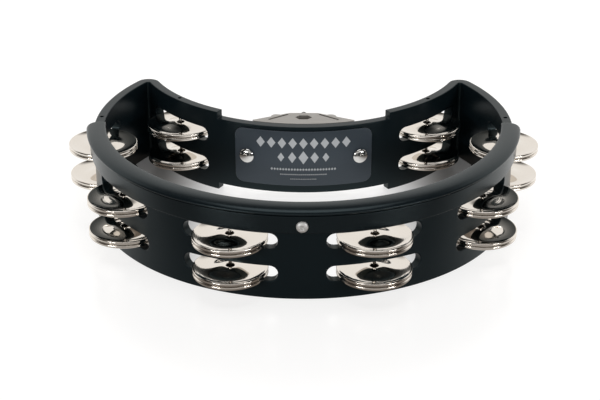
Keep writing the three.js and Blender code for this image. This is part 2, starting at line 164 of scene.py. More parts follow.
def surface(
    name, colour, shade, roughness, spread=0.06, metallic=0.0, grain=90.0, bump=0.03,
    wear=0.0, wear_colour=None, stretch=(1, 1, 1), specular=0.5, rings=0.0, tint=(1, 1, 1),
):
    """A surface whose colour and roughness drift between two values, with grain and edge wear."""
    material = bpy.data.materials.new(name)
    material.use_nodes = True
    tree = material.node_tree
    link = tree.links.new
    shader = tree.nodes["Principled BSDF"]
    shader.inputs["Metallic"].default_value = metallic
    shader.inputs["Specular IOR Level"].default_value = specular
    shader.inputs["Specular Tint"].default_value = (*tint, 1)

    place = node_of(tree, "ShaderNodeTexCoord")
    mapping = node_of(tree, "ShaderNodeMapping")
    mapping.inputs["Scale"].default_value = stretch
    link(place.outputs["Object"], mapping.inputs["Vector"])
    drift = node_of(
        tree, "ShaderNodeTexNoise", in_Scale=DRIFT_SCALE, in_Detail=3.0, in_Roughness=0.55,
    )
    fine = node_of(tree, "ShaderNodeTexNoise", in_Scale=grain, in_Detail=6.0, in_Roughness=0.6)
    for noise in (drift, fine):
        link(mapping.outputs["Vector"], noise.inputs["Vector"])

    tone = node_of(tree, "ShaderNodeMix", data_type="RGBA")
    tone.inputs["A"].default_value = (*colour, 1)
    tone.inputs["B"].default_value = (*shade, 1)
    link(drift.outputs["Fac"], tone.inputs["Factor"])
    result = tone.outputs["Result"]
    if wear:
        geometry = node_of(tree, "ShaderNodeNewGeometry")
        edge = node_of(tree, "ShaderNodeMapRange")
        edge.inputs["From Min"].default_value = EDGE_START
        edge.inputs["From Max"].default_value = EDGE_FULL
        link(geometry.outputs["Pointiness"], edge.inputs["Value"])
        patchy = node_of(tree, "ShaderNodeMath", operation="MULTIPLY")
        link(edge.outputs["Result"], patchy.inputs[0])
        link(fine.outputs["Fac"], patchy.inputs[1])
        strength = node_of(tree, "ShaderNodeMath", operation="MULTIPLY")
        strength.inputs[1].default_value = wear
        link(patchy.outputs["Value"], strength.inputs[0])
        worn = node_of(tree, "ShaderNodeMix", data_type="RGBA")
        worn.inputs["B"].default_value = (*(wear_colour or colour), 1)
        link(strength.outputs["Value"], worn.inputs["Factor"])
        link(result, worn.inputs["A"])
        result = worn.outputs["Result"]
    link(result, shader.inputs["Base Color"])

    gloss = node_of(tree, "ShaderNodeMapRange")
    gloss.inputs["To Min"].default_value = roughness - spread / 2
    gloss.inputs["To Max"].default_value = roughness + spread / 2
    link(fine.outputs["Fac"], gloss.inputs["Value"])
    link(gloss.outputs["Result"], shader.inputs["Roughness"])

    relief = node_of(tree, "ShaderNodeBump", in_Strength=bump, in_Distance=GRAIN_DEPTH)
    link(fine.outputs["Fac"], relief.inputs["Height"])
    if rings:
        turning = node_of(
            tree, "ShaderNodeTexWave", wave_type="RINGS", rings_direction="Z",
            in_Scale=LATHE_SCALE, in_Distortion=0.6, in_Detail=1.0,
        )
        link(place.outputs["Object"], turning.inputs["Vector"])
        lathe = node_of(tree, "ShaderNodeBump", in_Strength=rings, in_Distance=LATHE_DEPTH)
        link(turning.outputs["Fac"], lathe.inputs["Height"])
        link(relief.outputs["Normal"], lathe.inputs["Normal"])
        relief = lathe
    link(relief.outputs["Normal"], shader.inputs["Normal"])
    return material


COOL = (0.74, 0.95, 1.0)  # tint of the highlights on the black parts
BLACK = surface(
    "frame_black", (0.0044, 0.0088, 0.0118), (0.0058, 0.0108, 0.0142), 0.30, spread=0.10,
    grain=420.0, bump=0.04, wear=0.2, wear_colour=(0.03, 0.032, 0.034), specular=0.26,
    tint=COOL,
)
RUBBER = surface(
    "rim_black", (0.0042, 0.0076, 0.0102), (0.0056, 0.0096, 0.0128), 0.25, spread=0.08,
    grain=300.0, bump=0.05, wear=0.25, wear_colour=(0.03, 0.032, 0.034), specular=0.38,
    tint=COOL,
)
NICKEL = surface(
    "nickel", (0.80, 0.755, 0.70), (0.74, 0.69, 0.63), 0.07, spread=0.05, metallic=1.0,
    grain=160.0, bump=0.012, rings=0.10, wear=0.3, wear_colour=(0.9, 0.88, 0.85),
)
PIN_STEEL = surface(
    "pin_steel", (0.60, 0.58, 0.55), (0.42, 0.40, 0.38), 0.22, metallic=1.0, grain=500.0,
    bump=0.05, stretch=(1, 1, 0.15),
)
BRIGHT = surface(
    "bright_steel", (0.78, 0.78, 0.77), (0.66, 0.66, 0.65), 0.14, spread=0.08, metallic=1.0,
    grain=350.0, bump=0.03, wear=0.4, wear_colour=(0.9, 0.9, 0.9),
)
ZINC = surface(
    "screw_zinc", (0.86, 0.86, 0.85), (0.76, 0.76, 0.75), 0.40, spread=0.10, metallic=0.4,
    grain=420.0, bump=0.03, wear=0.4, wear_colour=(0.95, 0.95, 0.94),
)
SHEET = surface(
    "bracket_steel", (0.50, 0.48, 0.455), (0.40, 0.385, 0.365), 0.42, spread=0.16,
    metallic=0.9, grain=260.0, bump=0.08, stretch=(0.12, 1, 1), wear=0.5,
    wear_colour=(0.75, 0.74, 0.72),
)
CAST = surface(
    "cast_steel", (0.52, 0.505, 0.48), (0.42, 0.41, 0.39), 0.34, spread=0.14, metallic=1.0,
    grain=420.0, bump=0.16, wear=0.6, wear_colour=(0.82, 0.81, 0.79),
)
SLATE = surface(
    "plate_slate", (0.042, 0.058, 0.076), (0.052, 0.070, 0.090), 0.34, spread=0.1,
    metallic=0.25, grain=380.0, bump=0.03, stretch=(0.1, 1, 1), wear=0.8,
    wear_colour=(0.30, 0.32, 0.34),
)
PRINT = surface(
    "plate_print", (0.62, 0.65, 0.68), (0.54, 0.57, 0.60), 0.45, grain=500.0, bump=0.05,
)
BRASS = surface(
    "insert_brass", (0.60, 0.42, 0.18), (0.48, 0.33, 0.14), 0.3, metallic=1.0, grain=400.0,
    bump=0.04,
)

# ---- mesh tools ------------------------------------------------------------------------

MERGE = 0.002  # points of one piece closer than this become one
SEAM_MERGE = 0.01  # the same along the seam between two mirrored halves


def finish_piece(name, bm, material, nodes, body=ROOT, sharp=35.0, tools=()):
    """Turns a millimetre bmesh into a smooth-shaded piece that stands for its CAD nodes."""
    bmesh.ops.remove_doubles(bm, verts=bm.verts, dist=MERGE)
    bmesh.ops.recalc_face_normals(bm, faces=bm.faces)
    bm.transform(TO_FRAME)
    mesh = bpy.data.meshes.new(name)
    bm.to_mesh(mesh)
    bm.free()
    mesh.shade_smooth()
    mesh.set_sharp_from_angle(angle=math.radians(sharp))
    mesh.materials.append(material)
    piece = bpy.data.objects.new(name, mesh)
    bpy.context.scene.collection.objects.link(piece)
    for add_tool in tools:
        add_tool(piece)
    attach(piece, body)
    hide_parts(*nodes)
    return piece


def bevel(width, segments=2, limit=50.0):
    def add(piece):
        tool = piece.modifiers.new("edges", "BEVEL")
        tool.width = width * MM
        tool.segments = segments
        tool.limit_method = "ANGLE"
        tool.angle_limit = math.radians(limit)
        tool.miter_outer = "MITER_ARC"
    return add


def weighted_normals(piece):
    tool = piece.modifiers.new("normals", "WEIGHTED_NORMAL")
    tool.keep_sharp = True
    tool.weight = 90


def thicken(thickness):
    def add(piece):
        tool = piece.modifiers.new("thickness", "SOLIDIFY")
        tool.thickness = thickness * MM
        tool.offset = 0
        tool.use_even_offset = True
    return add


def boolean(operation, bm):
    """A tool that subtracts or adds a mesh of closed shapes, and then removes that mesh."""
    def add(piece):
        mesh = bpy.data.meshes.new(piece.name + "_other")
        bm.transform(TO_FRAME)
        bm.to_mesh(mesh)
        bm.free()
        other = bpy.data.objects.new(piece.name + "_other", mesh)
        bpy.context.scene.collection.objects.link(other)
        tool = piece.modifiers.new("boolean", "BOOLEAN")
        tool.operation = operation
        tool.solver = "EXACT"
        tool.object = other
        settle(piece)
        bpy.data.objects.remove(other)
    return add


def cut(bm):
    return boolean("DIFFERENCE", bm)


def join(bm):
    return boolean("UNION", bm)


def settle(piece):
    """Applies a piece's modifiers."""
    bpy.context.view_layer.update()
    evaluated = piece.evaluated_get(bpy.context.evaluated_depsgraph_get())
    mesh = bpy.data.meshes.new_from_object(evaluated)
    piece.modifiers.clear()
    piece.data = mesh


def turn(bm, profile, sides=48, matrix=Matrix(), closed=True):
    """Turns (radius, z) points about +Z. A radius may be a function of the angle."""
    rings = []
    for radius, z in profile:
        spots = []
        for k in range(sides):
            angle = 2 * math.pi * k / sides
            r = radius(angle) if callable(radius) else radius
            spots.append((r * math.cos(angle), r * math.sin(angle), z))
        if callable(radius) or radius > 0:
            rings.append([bm.verts.new(matrix @ Vector(spot)) for spot in spots])
        else:
            rings.append([bm.verts.new(matrix @ Vector((0, 0, z)))] * sides)
    pairs = list(zip(rings, rings[1:]))
    if closed:
        pairs.append((rings[-1], rings[0]))
    for low, high in pairs:
        for k in range(sides):
            corners = [low[k], low[(k + 1) % sides], high[(k + 1) % sides], high[k]]
            unique = list(dict.fromkeys(corners))
            if len(unique) > 2:
                bm.faces.new(unique)


def hexagon(apothem):
    """Radius of a hexagon, as a function of the angle."""
    step = math.pi / 3
    return lambda angle: apothem / math.cos((angle + step / 2) % step - step / 2)


def smooth_step(t):
    t = min(max(t, 0.0), 1.0)
    return t * t * (3 - 2 * t)


def span(start, end, count):
    """Evenly spaced values, both ends included."""
    return [start + (end - start) * k / count for k in range(count + 1)]


def arc(r, z, radius_r, radius_z, start, end, count):
    """Points of an elliptic arc in a (radius, z) profile, angles in degrees."""
    return [
        (r + radius_r * math.cos(math.radians(a)), z + radius_z * math.sin(math.radians(a)))
        for a in span(start, end, count)
    ]


# ---- frame -----------------------------------------------------------------------------

# A horn touches the front arc from inside and the back wall's arc from outside.
REACH = FRONT_R - HORN_R
BACK_REACH = BACK_R + HORN_R
HORN_Y = (REACH**2 - BACK_REACH**2 + BACK_CENTRE_Y**2) / (2 * BACK_CENTRE_Y)
HORN_X = math.sqrt(REACH**2 - HORN_Y**2)
FRONT_SWEEP = math.pi / 2 + math.atan2(HORN_Y, HORN_X)
BACK_SWEEP = math.asin(HORN_X / BACK_REACH)
FRONT_LENGTH = FRONT_MID_R * FRONT_SWEEP
HORN_FROM = math.atan2(HORN_Y, HORN_X)
HORN_TO = math.atan2(BACK_CENTRE_Y - HORN_Y, -HORN_X)
HORN_LENGTH = HORN_MID_R * (HORN_TO - HORN_FROM)
BACK_LENGTH = BACK_MID_R * BACK_SWEEP


def along_wall(s, z):
    """Middle of the wall, s from the front centre round the +X horn to the back centre."""
    if s <= FRONT_LENGTH:
        return on_front(s / FRONT_MID_R, FRONT_MID_R) @ Vector((0, 0, z))
    s -= FRONT_LENGTH
    if s <= HORN_LENGTH:
        angle = HORN_FROM + s / HORN_MID_R
        x = HORN_X + HORN_MID_R * math.cos(angle)
        return Vector((x, HORN_Y + HORN_MID_R * math.sin(angle), z))
    s -= HORN_LENGTH
    return on_back((BACK_LENGTH - s) / BACK_MID_R, BACK_MID_R) @ Vector((0, 0, z))


SLOT_MARGIN = 2.2  # ring of fine mesh left round a slot
BAND_LOW, BAND_HIGH = NOTCH_DEPTH, FRAME_TOP - NOTCH_DEPTH
BAND_MIDDLE = (ROWS["lower"] + SLOT_HEIGHT + ROWS["upper"]) / 2
END_STEPS, STRAIGHT_STEPS = 10, 18
HORN_STEPS, NOTCH_STEPS = 14, 16
WEB_STEP = 4.0
RING_STEPS = (0, 0.3, 0.65, 1)


def slot_ring(centre, length, floor, low, high, t):
    """A loop between a slot's outline (t = 0) and the rectangle round it (t = 1)."""
    radius = SLOT_HEIGHT / 2
    straight = length / 2 - radius
    reach = length / 2 + SLOT_MARGIN
    inner, outer = [], []
    for u in span(-1, 1, STRAIGHT_STEPS):
        inner.append((straight * u, floor))
        outer.append((reach * u, low))
    for k in range(1, END_STEPS):
        angle = math.pi * k / END_STEPS - math.pi / 2
        across, up = radius * math.cos(angle), radius * (1 + math.sin(angle))
        inner.append((straight + across, floor + up))
        outer.append((reach, low + (high - low) * k / END_STEPS))
    for u in span(1, -1, STRAIGHT_STEPS):
        inner.append((straight * u, floor + SLOT_HEIGHT))
        outer.append((reach * u, high))
    for k in range(1, END_STEPS):
        angle = math.pi * k / END_STEPS + math.pi / 2
        across, up = radius * math.cos(angle), radius * (1 + math.sin(angle))
        inner.append((-straight + across, floor + up))
        outer.append((-reach, high + (low - high) * k / END_STEPS))
    return [
        along_wall(centre + a[0] + (b[0] - a[0]) * t, a[1] + (b[1] - a[1]) * t)
        for a, b in zip(inner, outer)
    ]


def add_grid(bm, stations, heights):
    """A plain patch of the wall's middle surface."""
    rows = [[bm.verts.new(along_wall(s, z)) for s in stations] for z in heights]
    for low, high in zip(rows, rows[1:]):
        for k in range(len(stations) - 1):
            bm.faces.new((low[k], low[k + 1], high[k + 1], high[k]))


def half_frame():
    """The middle surface of the +X half of the wall, with its slots."""
    bm = bmesh.new()
    half_length = FRONT_LENGTH + HORN_LENGTH + BACK_LENGTH
    slots = [(FRONT_MID_R * PITCH * k, SLOT_FRONT) for k in (0.5, 1.5, 2.5)]
    slots.append((half_length - BACK_MID_R * BACK_COLUMN, SLOT_BACK))
    notch = half_length - BACK_MID_R * math.asin(NOTCH_HALF / BACK_MID_R)
    band = [BAND_LOW + (BAND_MIDDLE - BAND_LOW) * k / END_STEPS for k in range(END_STEPS)]
    band += [BAND_MIDDLE + (BAND_HIGH - BAND_MIDDLE) * k / END_STEPS for k in range(END_STEPS + 1)]
    edge = 0.0
    for centre, length in slots:
        reach = length / 2 + SLOT_MARGIN
        webs = [(edge, centre - reach)]
        if edge < FRONT_LENGTH < centre - reach:
            horn_end = FRONT_LENGTH + HORN_LENGTH
            webs = [(edge, FRONT_LENGTH), (FRONT_LENGTH, horn_end), (horn_end, centre - reach)]
        for start, end in webs:
            on_horn = start == FRONT_LENGTH
            steps = HORN_STEPS if on_horn else max(1, round((end - start) / WEB_STEP))
            add_grid(bm, span(start, end, steps), [0, *band, FRAME_TOP])
        for floor, low, high in (
            (ROWS["lower"], BAND_LOW, BAND_MIDDLE), (ROWS["upper"], BAND_MIDDLE, BAND_HIGH),
        ):
            loops = [
                [bm.verts.new(p) for p in slot_ring(centre, length, floor, low, high, t)]
                for t in RING_STEPS
            ]
            for inner, outer in zip(loops, loops[1:]):
                for k in range(len(inner)):
                    n = (k + 1) % len(inner)
                    bm.faces.new((inner[k], inner[n], outer[n], outer[k]))
        stations = [centre + reach * u for u in span(-1, 1, STRAIGHT_STEPS)]
        for heights in ([0, BAND_LOW], [BAND_HIGH, FRAME_TOP]):
            add_grid(bm, stations, heights)
        edge = centre + reach
    add_grid(bm, span(edge, notch, 2), [0, *band, FRAME_TOP])
    add_grid(bm, span(notch, half_length, NOTCH_STEPS), band)
    return bm


def mirrored(bm):
    """Adds the mesh's twin across X = 0 and closes the seam."""
    copy = bmesh.ops.duplicate(bm, geom=bm.verts[:] + bm.edges[:] + bm.faces[:])["geom"]
    twins = [g for g in copy if isinstance(g, bmesh.types.BMVert)]
    bmesh.ops.scale(bm, vec=(-1, 1, 1), verts=twins)
    bmesh.ops.reverse_faces(bm, faces=[g for g in copy if isinstance(g, bmesh.types.BMFace)])
    bmesh.ops.remove_doubles(bm, verts=bm.verts, dist=SEAM_MERGE)
    return bm


def rod_of(bm, radius, low, high, matrix, sides=24):
    """A closed round rod along the matrix's Z, for cutting a hole."""
    turn(bm, [(0, low), (radius, low), (radius, high), (0, high)], sides, matrix, closed=False)


def frame_cutters():
    """Holes for the pins, the plate's bolts and the rim screw's insert."""
    bm = bmesh.new()
    for place in COLUMNS.values():
        rod_of(bm, PIN_HOLE_R, PIN_BOTTOM, FRAME_TOP + 1, place)
    lift = Matrix.Translation((0, 0, PLATE_Z))
    for place in BOLTS.values():
        rod_of(bm, BOLT_R + GAP, -2, WALL + 2, place @ lift @ FACE_BACK)
    screw = on_front(0, FRONT_R) @ Matrix.Translation((0, 0, SCREW_Z)) @ FACE_BACK
    rod_of(bm, INSERT_R + GAP, -2, WALL + 2, screw)
    bmesh.ops.recalc_face_normals(bm, faces=bm.faces)
    return bm


finish_piece(
    "frame_wall", mirrored(half_frame()), BLACK, ["frame"],
    tools=[thicken(WALL), bevel(0.7, 3), cut(frame_cutters()), weighted_normals],
)

# ---- striking rim ----------------------------------------------------------------------

UNDERSIDE = FRAME_TOP + GAP
SKIRT_INNER = FRONT_R + GAP
GROOVE_R = RIM_SKIRT_R - 1.1  # floor of the undercut below the rim's bead
RIM_PROFILE = [
    # underside, then down the skirt's inner face
    (RIM_INNER_R, UNDERSIDE), (RIM_INNER_R + 4, UNDERSIDE), (SKIRT_INNER - 0.3, UNDERSIDE),
    (SKIRT_INNER, UNDERSIDE - 0.3), (SKIRT_INNER, 57), (SKIRT_INNER, RIM_BOTTOM + 0.3),
    (SKIRT_INNER + 0.3, RIM_BOTTOM),
    # up the skirt's outer face
    *arc(RIM_SKIRT_R - 0.9, RIM_BOTTOM + 0.9, 0.9, 0.9, -90, 0, 4),
    (RIM_SKIRT_R, 53), (RIM_SKIRT_R, 58),
    *arc(RIM_SKIRT_R - 0.4, 60.9, 0.4, 0.4, 0, 90, 4),
    # undercut
    (GROOVE_R + 0.2, 61.35), (GROOVE_R, 61.6), (GROOVE_R, 62.1), (GROOVE_R + 0.4, 62.5),
    # bead
    (RIM_SKIRT_R + 0.6, 62.6),
    *arc(RIM_OUTER_R - 0.9, 63.5, 0.9, 0.9, -80, 30, 6),
    # top, which climbs inwards in a low crown to the rounded inner edge
    (RIM_OUTER_R - 0.7, 64.8), (RIM_OUTER_R - 1.9, 65.55), (RIM_OUTER_R - 3.5, 66.15),
    (RIM_OUTER_R - 6, 66.7), (RIM_OUTER_R - 8.5, 66.95), (RIM_INNER_R + 3.4, 67.0),
    *arc(RIM_INNER_R + 1.8, RIM_TOP - 1.85, 1.8, 1.8, 80, 180, 6),
]


RIM_STEPS, RIM_ROUND = 150, 0.6
LEAST_CORNER = 0.05  # keeps the rounded corner's last point short of its quarter circle


def rim_end_angle(radius):
    """Where the rim stops at a radius: its outer corners are rounded in plan."""
    corner = RIM_OUTER_R - RIM_END_R
    over = max(0.0, min(radius - corner, RIM_END_R - LEAST_CORNER))
    shortfall = RIM_END_R - math.sqrt(RIM_END_R**2 - over**2)
    return RIM_HALF_ANGLE - shortfall / RIM_OUTER_R


def inset_profile(profile, distance):
    """Moves a closed clockwise profile inwards by a distance."""
    moved = []
    for k, (r, z) in enumerate(profile):
        before = profile[k - 1]
        after = profile[(k + 1) % len(profile)]
        tangent = Vector((after[0] - before[0], after[1] - before[1])).normalized()
        moved.append((r - tangent.y * distance, z + tangent.x * distance))
    return moved


def rim_mesh():
    """The rim's profile swept along the front arc, with rounded edges at both ends."""
    bm = bmesh.new()
    rings = []
    easings = [math.radians(a) for a in (90, 60, 30)]
    stations = [(-1, math.sin(a), 1 - math.cos(a)) for a in easings]
    stations += [(u, 0, 0) for u in span(-1, 1, RIM_STEPS)]
    stations += [(1, math.sin(a), 1 - math.cos(a)) for a in reversed(easings)]
    for u, advance, inset in stations:
        outline = inset_profile(RIM_PROFILE, RIM_ROUND * inset)
        ring = []
        for (full, _), (r, z) in zip(RIM_PROFILE, outline):
            limit = rim_end_angle(full) - RIM_ROUND / RIM_OUTER_R
            angle = u * limit + math.copysign(advance * RIM_ROUND / RIM_OUTER_R, u)
            ring.append(bm.verts.new(on_front(angle, r) @ Vector((0, 0, z))))
        rings.append(ring)
    count = len(RIM_PROFILE)
    for low, high in zip(rings, rings[1:]):
        for k in range(count):
            n = (k + 1) % count
            bm.faces.new((low[k], low[n], high[n], high[k]))
    for ring in (rings[0], rings[-1]):
        cap = bm.faces.new(ring)
        bmesh.ops.triangulate(bm, faces=[cap])
    return bm


def rim_cutter():
    """The rim screw's hole in the skirt."""
    bm = bmesh.new()
    screw = on_front(0, FRONT_R) @ Matrix.Translation((0, 0, SCREW_Z)) @ FACE_OUT
    rod_of(bm, SCREW_R + GAP, -2, 6, screw)
    bmesh.ops.recalc_face_normals(bm, faces=bm.faces)
    return bm


finish_piece(
    "rim_cap", rim_mesh(), RUBBER, ["striking_rim"], sharp=60.0,
    tools=[cut(rim_cutter()), weighted_normals],
)

# ---- rim screw -------------------------------------------------------------------------

SOCKET_APOTHEM, SOCKET_TOP, SOCKET_FLOOR = 1.42, 1.9, 0.3
SCREW_DOME_LOW, SCREW_DOME = 0.35, 1.9


def rim_screw():
    """A domed head with a hexagonal socket, on a shank that ends inside the wall."""
    bm = bmesh.new()
    seat = RIM_SKIRT_R - FRONT_R + GAP
    place = on_front(0, FRONT_R) @ Matrix.Translation((0, -seat, SCREW_Z)) @ FACE_OUT
    socket = hexagon(SOCKET_APOTHEM)
    profile = [
        (0, -(seat + WALL - 0.8)), (SCREW_R - 0.3, -(seat + WALL - 0.8)),
        (SCREW_R, -(seat + WALL - 1.1)), (SCREW_R, 0), (SCREW_HEAD_R - 0.2, 0),
        (SCREW_HEAD_R, 0.15), *arc(0, SCREW_DOME_LOW, SCREW_HEAD_R, SCREW_DOME, 0, 62, 8),
        (1.75, 2.06), (socket, SOCKET_TOP), (socket, SOCKET_FLOOR), (0, 0.2),
    ]
    turn(bm, profile, 48, place, closed=False)
    return bm


finish_piece("rim_screw_head", rim_screw(), ZINC, ["rim_screw"], sharp=40.0)


def rim_insert():
    """A ribbed sleeve in the wall."""
    bm = bmesh.new()
    place = on_front(0, FRONT_R) @ Matrix.Translation((0, 0, SCREW_Z)) @ FACE_BACK
    low, high = 0.6, WALL + 0.4
    rib = 0.18
    outer = []
    for k, z in enumerate(span(low, high, 16)):
        outer.append((INSERT_R - (rib if k % 2 else 0.0), z))
    inner = SCREW_R + GAP
    profile = [(inner, high), (inner, low), (INSERT_R - 0.3, low), *outer, (INSERT_R - 0.3, high)]
    turn(bm, profile, 32, place)
    return bm


finish_piece("rim_insert", rim_insert(), BRASS, ["rim_screw_insert"])

# ---- jingles and pins ------------------------------------------------------------------

CROWN_R, VALLEY_R, VALLEY_Z = 4.0, 16.5, 0.9
LIP_R, LIP_SLOPE = 24.0, math.radians(20)
CURL_R = 1.0  # the lip's open edge curls under by this radius
HOLE_ROUND = 0.3
DISC_SHEET = JINGLE_SHEET - 0.1
DISC_SIDES = 72


def disc_top(r):
    """Height of a disc's face: a low dome, a round valley, and a flange that climbs to the lip."""
    if r < VALLEY_R:
        fall = smooth_step((r - CROWN_R) / (VALLEY_R - CROWN_R))
        return VALLEY_Z + (JINGLE_HEIGHT - VALLEY_Z) * (1 - fall)
    return VALLEY_Z + math.tan(LIP_SLOPE) * (r - VALLEY_R) ** 2 / (2 * (LIP_R - VALLEY_R))


def disc_profile():
    """Top face from the hole outwards, round the rolled lip, and back underneath."""
    lip_z = disc_top(LIP_R)
    roll = (JINGLE_R - LIP_R) / (1 + math.sin(LIP_SLOPE))
    roll_z = lip_z - roll * math.cos(LIP_SLOPE)
    face = [(r, disc_top(r)) for r in span(JINGLE_HOLE_R + HOLE_ROUND, LIP_R, 30)][:-1]
    lip = arc(JINGLE_R - roll, roll_z, roll, roll, 90 + math.degrees(LIP_SLOPE), 0, 12)
    curl = arc(JINGLE_R - CURL_R, CURL_R, CURL_R, CURL_R, 0, -90, 8)
    under = [
        (r, max(0.1, disc_top(r) - DISC_SHEET))
        for r in span(LIP_R, JINGLE_HOLE_R + HOLE_ROUND, 14)
    ]
    return [
        (JINGLE_HOLE_R, JINGLE_HEIGHT - HOLE_ROUND), (JINGLE_HOLE_R + 0.08, JINGLE_HEIGHT - 0.08),
        *face, *lip, *curl, (JINGLE_R - CURL_R - 0.25, 0.3), (JINGLE_R - CURL_R - 0.3, 0.9),
        *under, (JINGLE_HOLE_R, JINGLE_HEIGHT - DISC_SHEET),
    ]


DISC = disc_profile()
# Each pair leans a little on its pin, by up to this many degrees and unevenly from pair to pair.
MOST_TILT = 0.9
TILTS = {}
for column_index, column in enumerate(COLUMNS):
    for row_index, row in enumerate(ROWS):
        phase = 2.3 * column_index + 1.9 * row_index + 0.6
        TILTS[column, row] = math.radians(MOST_TILT * math.sin(phase))


def add_disc(column, row, half):
    """One disc of a pair, as an object at its own middle so that its material is centred."""
    node = f"jingle_{column}_{row}_{half}"
    meeting = ROWS[row] + GAP + JINGLE_HEIGHT + GAP / 2
    lift = meeting + (GAP / 2 if half == "top" else -GAP / 2)
    tilt = Matrix.Rotation(TILTS[column, row], 4, "X")
    place = COLUMNS[column] @ Matrix.Translation((0, 0, meeting)) @ tilt
    place = place @ Matrix.Translation((0, 0, lift - meeting))
    if half == "bottom":
        place = place @ Matrix.Rotation(math.pi, 4, "X")
    location = place.to_translation()
    bm = bmesh.new()
    turn(bm, DISC, DISC_SIDES)
    bmesh.ops.recalc_face_normals(bm, faces=bm.faces)
    bm.transform(Matrix.Scale(MM, 4) @ Matrix.Translation(-location) @ place)
    mesh = bpy.data.meshes.new("disc_" + node)
    bm.to_mesh(mesh)
    bm.free()
    mesh.shade_smooth()
    mesh.set_sharp_from_angle(angle=math.radians(60))
    mesh.materials.append(NICKEL)
    disc = bpy.data.objects.new(f"disc_{column}_{row}_{half}", mesh)
    bpy.context.scene.collection.objects.link(disc)
    disc.location = TO_FRAME @ location
    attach(disc, node)
    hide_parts(node)


for column, place in COLUMNS.items():
    for row in ROWS:
        for half in ("bottom", "top"):
            add_disc(column, row, half)
    pin = bmesh.new()
    pin_profile = [
        (0, PIN_BOTTOM + GAP), (PIN_R - 0.3, PIN_BOTTOM + GAP), (PIN_R, PIN_BOTTOM + GAP + 0.5),
        (PIN_R, PIN_TOP - 0.4), (PIN_R - 0.35, PIN_TOP - 0.05), (0, PIN_TOP),
    ]
    turn(pin, pin_profile, 24, place, closed=False)
    finish_piece(f"rod_{column}", pin, PIN_STEEL, [f"pin_{column}"])

# ---- name plate ------------------------------------------------------------------------

PLATE_STEPS, PLATE_ROWS, CORNER_STEPS = 36, 8, 6


def plate_point(u, z, radius):
    """A point at a sideways distance u along the back wall's front face."""
    return on_back(math.asin(u / PLATE_OUTER_R), radius) @ Vector((0, 0, z))


def plate_mesh():
    """The middle surface of the curved plate: columns that shorten in the round corners."""
    half_width, half_height = PLATE_WIDTH / 2, PLATE_HEIGHT / 2
    middle = PLATE_OUTER_R - PLATE_THICKNESS / 2
    corner = [PLATE_CORNER * math.sin(math.radians(a)) for a in span(90, 0, CORNER_STEPS)]
    right = [half_width - PLATE_CORNER + c for c in corner]
    flat = span(-(half_width - PLATE_CORNER), half_width - PLATE_CORNER, PLATE_STEPS)[1:-1]
    stations = [-u for u in right] + flat + list(reversed(right))
    bm = bmesh.new()
    columns = []
    for u in stations:
        over = max(0.0, abs(u) - (half_width - PLATE_CORNER))
        reach = half_height - PLATE_CORNER + math.sqrt(max(0.0, PLATE_CORNER**2 - over**2))
        zs = [PLATE_Z + reach * t for t in span(-1, 1, PLATE_ROWS)]
        columns.append([bm.verts.new(plate_point(u, z, middle)) for z in zs])
    for left, right_column in zip(columns, columns[1:]):
        for k in range(PLATE_ROWS):
            bm.faces.new((left[k], right_column[k], right_column[k + 1], left[k + 1]))
    return bm


def plate_cutters():
    """Holes for the two bolts."""
    bm = bmesh.new()
    lift = Matrix.Translation((0, 0, PLATE_Z))
    for place in BOLTS.values():
        rod_of(bm, BOLT_R + GAP, -4, 3, place @ lift @ FACE_BACK)
    bmesh.ops.recalc_face_normals(bm, faces=bm.faces)
    return bm


finish_piece(
    "plate_curved", plate_mesh(), SLATE, ["name_plate"],
    tools=[thicken(PLATE_THICKNESS), bevel(0.22, 2), cut(plate_cutters()), weighted_normals],
)

MARK_SUNK, MARK_RAISED = 0.02, 0.12


def add_mark(bm, outline):
    """A raised print mark: an outline of (u, z) points laid on the plate."""
    loops = []
    for radius in (PLATE_OUTER_R - MARK_SUNK, PLATE_OUTER_R + MARK_RAISED):
        loops.append([bm.verts.new(plate_point(u, z, radius)) for u, z in outline])
    low, high = loops
    count = len(outline)
    for k in range(count):
        n = (k + 1) % count
        bm.faces.new((low[k], low[n], high[n], high[k]))
    bm.faces.new(high)
    bm.faces.new(list(reversed(low)))


def lozenge(u, z, half_width, half_height):
    return [(u - half_width, z), (u, z - half_height), (u + half_width, z), (u, z + half_height)]


# Rows of the ornament: height over the plate's middle, pitch, and a mark's half width and height.
TOP_ROW = (12.4, 7.8, 3.1, 4.2)
MIDDLE_ROW = (1.2, 8.2, 3.6, 5.2)
MIDDLE_TAPER = 0.16  # each mark of the middle row is this much smaller than the one inside it
# Dashed rules under them: drop below the plate's middle, half length, height and pitch.
RULES = ((8.4, 25.0, 2.2, 2.1), (12.4, 17.0, 1.1, 1.5), (16.0, 10.0, 0.8, 1.3))
DASH_HALF = 0.42  # half a dash, as a part of the pitch


def plate_ornament():
    """A plain geometric ornament: two rows of lozenges with fine dashed rules under them."""
    bm = bmesh.new()
    rise, pitch, half_width, half_height = TOP_ROW
    for k in range(-4, 5):
        add_mark(bm, lozenge(pitch * k, PLATE_Z + rise, half_width, half_height))
    rise, pitch, half_width, half_height = MIDDLE_ROW
    for k in range(-2, 3):
        size = 1.0 - MIDDLE_TAPER * abs(k)
        add_mark(bm, lozenge(pitch * k, PLATE_Z + rise, half_width * size, half_height * size))
    for drop, reach, height, pitch in RULES:
        steps = int(reach / pitch)
        for k in range(-steps, steps + 1):
            add_mark(bm, lozenge(pitch * k, PLATE_Z - drop, DASH_HALF * pitch, height / 2))
    return bm


finish_piece("plate_ornament", plate_ornament(), PRINT, [], sharp=20.0)

# ---- plate bolts, washers and nuts -----------------------------------------------------

